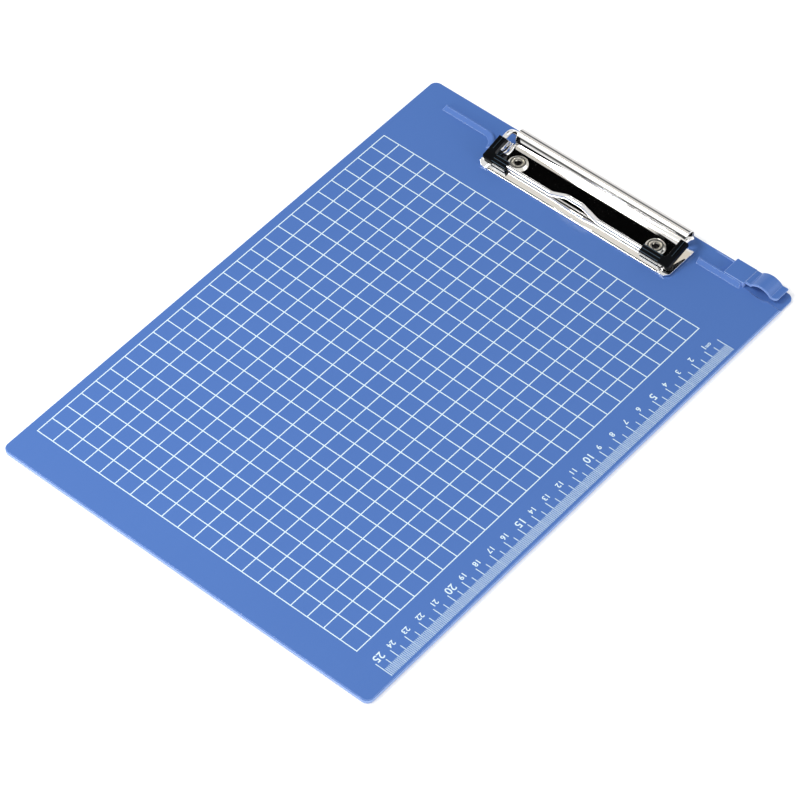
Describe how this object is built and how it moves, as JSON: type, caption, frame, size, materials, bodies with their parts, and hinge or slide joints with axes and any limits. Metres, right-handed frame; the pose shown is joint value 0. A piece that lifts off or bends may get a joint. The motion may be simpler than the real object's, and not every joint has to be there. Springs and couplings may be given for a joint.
{
  "type": "clipboard",
  "caption": "Flat plastic clipboard with a sprung wire clip on a riveted metal base, a moulded pen holder and finger ridges.",
  "frame": {"origin": "middle of the board's underside", "axes": "+X along the board's width to the pen holder's side, +Y along its length towards the clip, +Z out of the writing face"},
  "size_m": [0.2284, 0.3146, 0.0119],
  "materials": {
    "board_plastic": "satin",
    "bright_chrome": "polished",
    "black_plastic": "satin",
    "satin_steel": "satin"
  },
  "bodies": {
    "board": {"board": "board_plastic", "base_plate": "bright_chrome", "washer_left": "satin_steel", "washer_right": "satin_steel", "rivet_left": "satin_steel", "rivet_right": "satin_steel"},
    "bail": {"wire_bail": "bright_chrome", "guard_left": "black_plastic", "guard_right": "black_plastic"},
    "pen_clip": {"pen_clip": "board_plastic"}
  },
  "joints": [
    {"name": "bail_hinge", "type": "hinge", "parent": "board", "child": "bail", "pos_m": [0, 0.15225, 0.0064], "axis": [-1, 0, 0], "range_deg": [0, 45], "stiffness_Nm_per_rad": 0.76, "springref_deg": -28.65},
    {"name": "pen_clip_flex", "type": "hinge", "parent": "board", "child": "pen_clip", "pos_m": [0.0914, 0.1523, 0.00485], "axis": [0, -1, 0], "range_deg": [0, 8], "stiffness_Nm_per_rad": 0.7}
  ]
}
